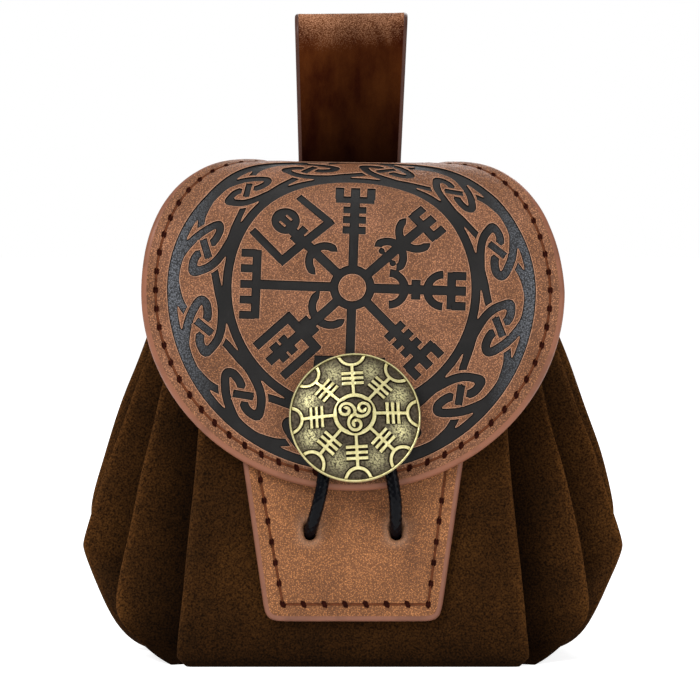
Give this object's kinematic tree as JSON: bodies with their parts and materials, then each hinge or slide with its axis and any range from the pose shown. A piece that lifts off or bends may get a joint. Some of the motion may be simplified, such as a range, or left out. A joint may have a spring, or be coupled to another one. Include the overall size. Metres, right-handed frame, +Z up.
{
  "type": "belt bag",
  "caption": "Small belt pouch of pleated suede with a round leather flap, front tab, domed brass button, elastic closing cord and a folded belt loop.",
  "frame": {"origin": "centre of the bounding box on the surface the bag stands on", "axes": "+Z up along the bag's height, -Y towards the front with the flap and button, +X to the right seen from the front"},
  "size_m": [0.1524, 0.0772, 0.182],
  "materials": {
    "suede": "dark brown napped suede",
    "flap_leather": "tan leather with inked, pressed ornament",
    "tab_leather": "tan leather, stitched edge",
    "loop_leather": "brown leather, waxed",
    "button_brass": "antique brass with dark patina",
    "screw_brass": "plain brass",
    "elastic": "braided black elastic"
  },
  "bodies": {
    "root": {"pouch_body": "suede", "flap": "flap_leather", "front_tab": "tab_leather", "belt_loop": "loop_leather", "button": "button_brass", "button_back_screw": "screw_brass", "closure_cord": "elastic"}
  },
  "joints": []
}
